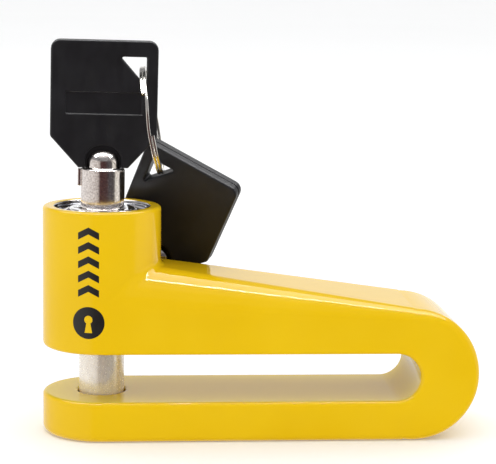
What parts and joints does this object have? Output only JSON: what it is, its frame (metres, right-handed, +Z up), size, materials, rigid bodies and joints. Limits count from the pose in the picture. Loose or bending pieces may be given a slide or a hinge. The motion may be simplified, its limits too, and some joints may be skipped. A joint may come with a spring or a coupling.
{
  "type": "disc brake lock",
  "caption": "U-shaped motorcycle disc lock: cast body with a slot for the brake disc, push-down locking pin with a tubular lock core, and keys on a split ring.",
  "frame": {"origin": "on the locking pin's axis, in the plane of the body's flat underside", "axes": "+X along the arm towards the closed end, +Z up out of the lock's keyed face, +Y towards the side where the spare key hangs"},
  "size_m": [0.0958, 0.0397, 0.0865],
  "materials": {
    "body_enamel": "gloss yellow enamel",
    "pin_nickel": "satin nickel plate on hardened steel",
    "key_nickel": "bright nickel plate",
    "ring_nickel": "nickel-plated flat wire",
    "face_chrome": "mirror chrome plate",
    "plunger_zinc": "satin die-cast zinc",
    "lock_brass": "turned brass",
    "hard_steel": "ground hardened steel",
    "spring_steel": "drawn spring wire",
    "key_plastic": "black satin moulded plastic"
  },
  "bodies": {
    "lock_body": {"body_casting": "body_enamel", "guide_pin": "hard_steel", "return_spring": "spring_steel"},
    "plunger": {"plunger_barrel": "plunger_zinc", "locking_pin": "pin_nickel", "pin_cross_pin": "hard_steel", "face_ring": "face_chrome", "lock_shell": "lock_brass", "lock_bezel": "face_chrome", "rear_pin_block": "lock_brass", "driver_pin_1": "hard_steel", "driver_pin_2": "hard_steel", "driver_pin_3": "hard_steel", "driver_pin_4": "hard_steel", "driver_pin_5": "hard_steel", "driver_pin_6": "hard_steel", "driver_pin_7": "hard_steel", "driver_spring_1": "spring_steel", "driver_spring_2": "spring_steel", "driver_spring_3": "spring_steel", "driver_spring_4": "spring_steel", "driver_spring_5": "spring_steel", "driver_spring_6": "spring_steel", "driver_spring_7": "spring_steel"},
    "latch": {"latch_bolt": "hard_steel"},
    "core": {"core_spindle": "key_nickel", "cam_plate": "hard_steel", "key_pin_1": "lock_brass", "key_pin_2": "lock_brass", "key_pin_3": "lock_brass", "key_pin_4": "lock_brass", "key_pin_5": "lock_brass", "key_pin_6": "lock_brass", "key_pin_7": "lock_brass"},
    "key_1": {"key_1_tube": "key_nickel", "key_1_head": "key_plastic"},
    "key_ring": {"key_ring": "ring_nickel"},
    "key_2": {"key_2_tube": "key_nickel", "key_2_head": "key_plastic"}
  },
  "joints": [
    {"name": "plunger_slide", "type": "slide", "parent": "lock_body", "child": "plunger", "axis": [0, 0, 1], "range_m": [0, 0.0145], "deforming": ["return_spring"]},
    {"name": "core_turn", "type": "hinge", "parent": "plunger", "child": "core", "pos_m": [0, 0, 0.045], "axis": [0, 0, 1], "range_deg": [0, 90]},
    {"name": "latch_slide", "type": "slide", "parent": "plunger", "child": "latch", "axis": [-1, 0, 0], "range_m": [0, 0.0018]},
    {"name": "key_1_withdraw", "type": "slide", "parent": "core", "child": "key_1", "axis": [0, 0, 1], "range_m": [0, 0.012]},
    {"name": "key_ring_turn", "type": "hinge", "parent": "key_1", "child": "key_ring", "pos_m": [0.01091, 0.00317, 0.06875], "axis": [0.9805, -0.0775, 0.1804], "range_deg": [0, 90]},
    {"name": "key_2_swing", "type": "hinge", "parent": "key_ring", "child": "key_2", "pos_m": [0.01317, 0.0075, 0.05834], "axis": [-0.0023, -0.9233, -0.3841], "range_deg": [0, 60]}
  ],
  "couplings": [
    {"joint": "latch_slide", "follows": "core_turn", "m_per_rad": 0.001145}
  ]
}
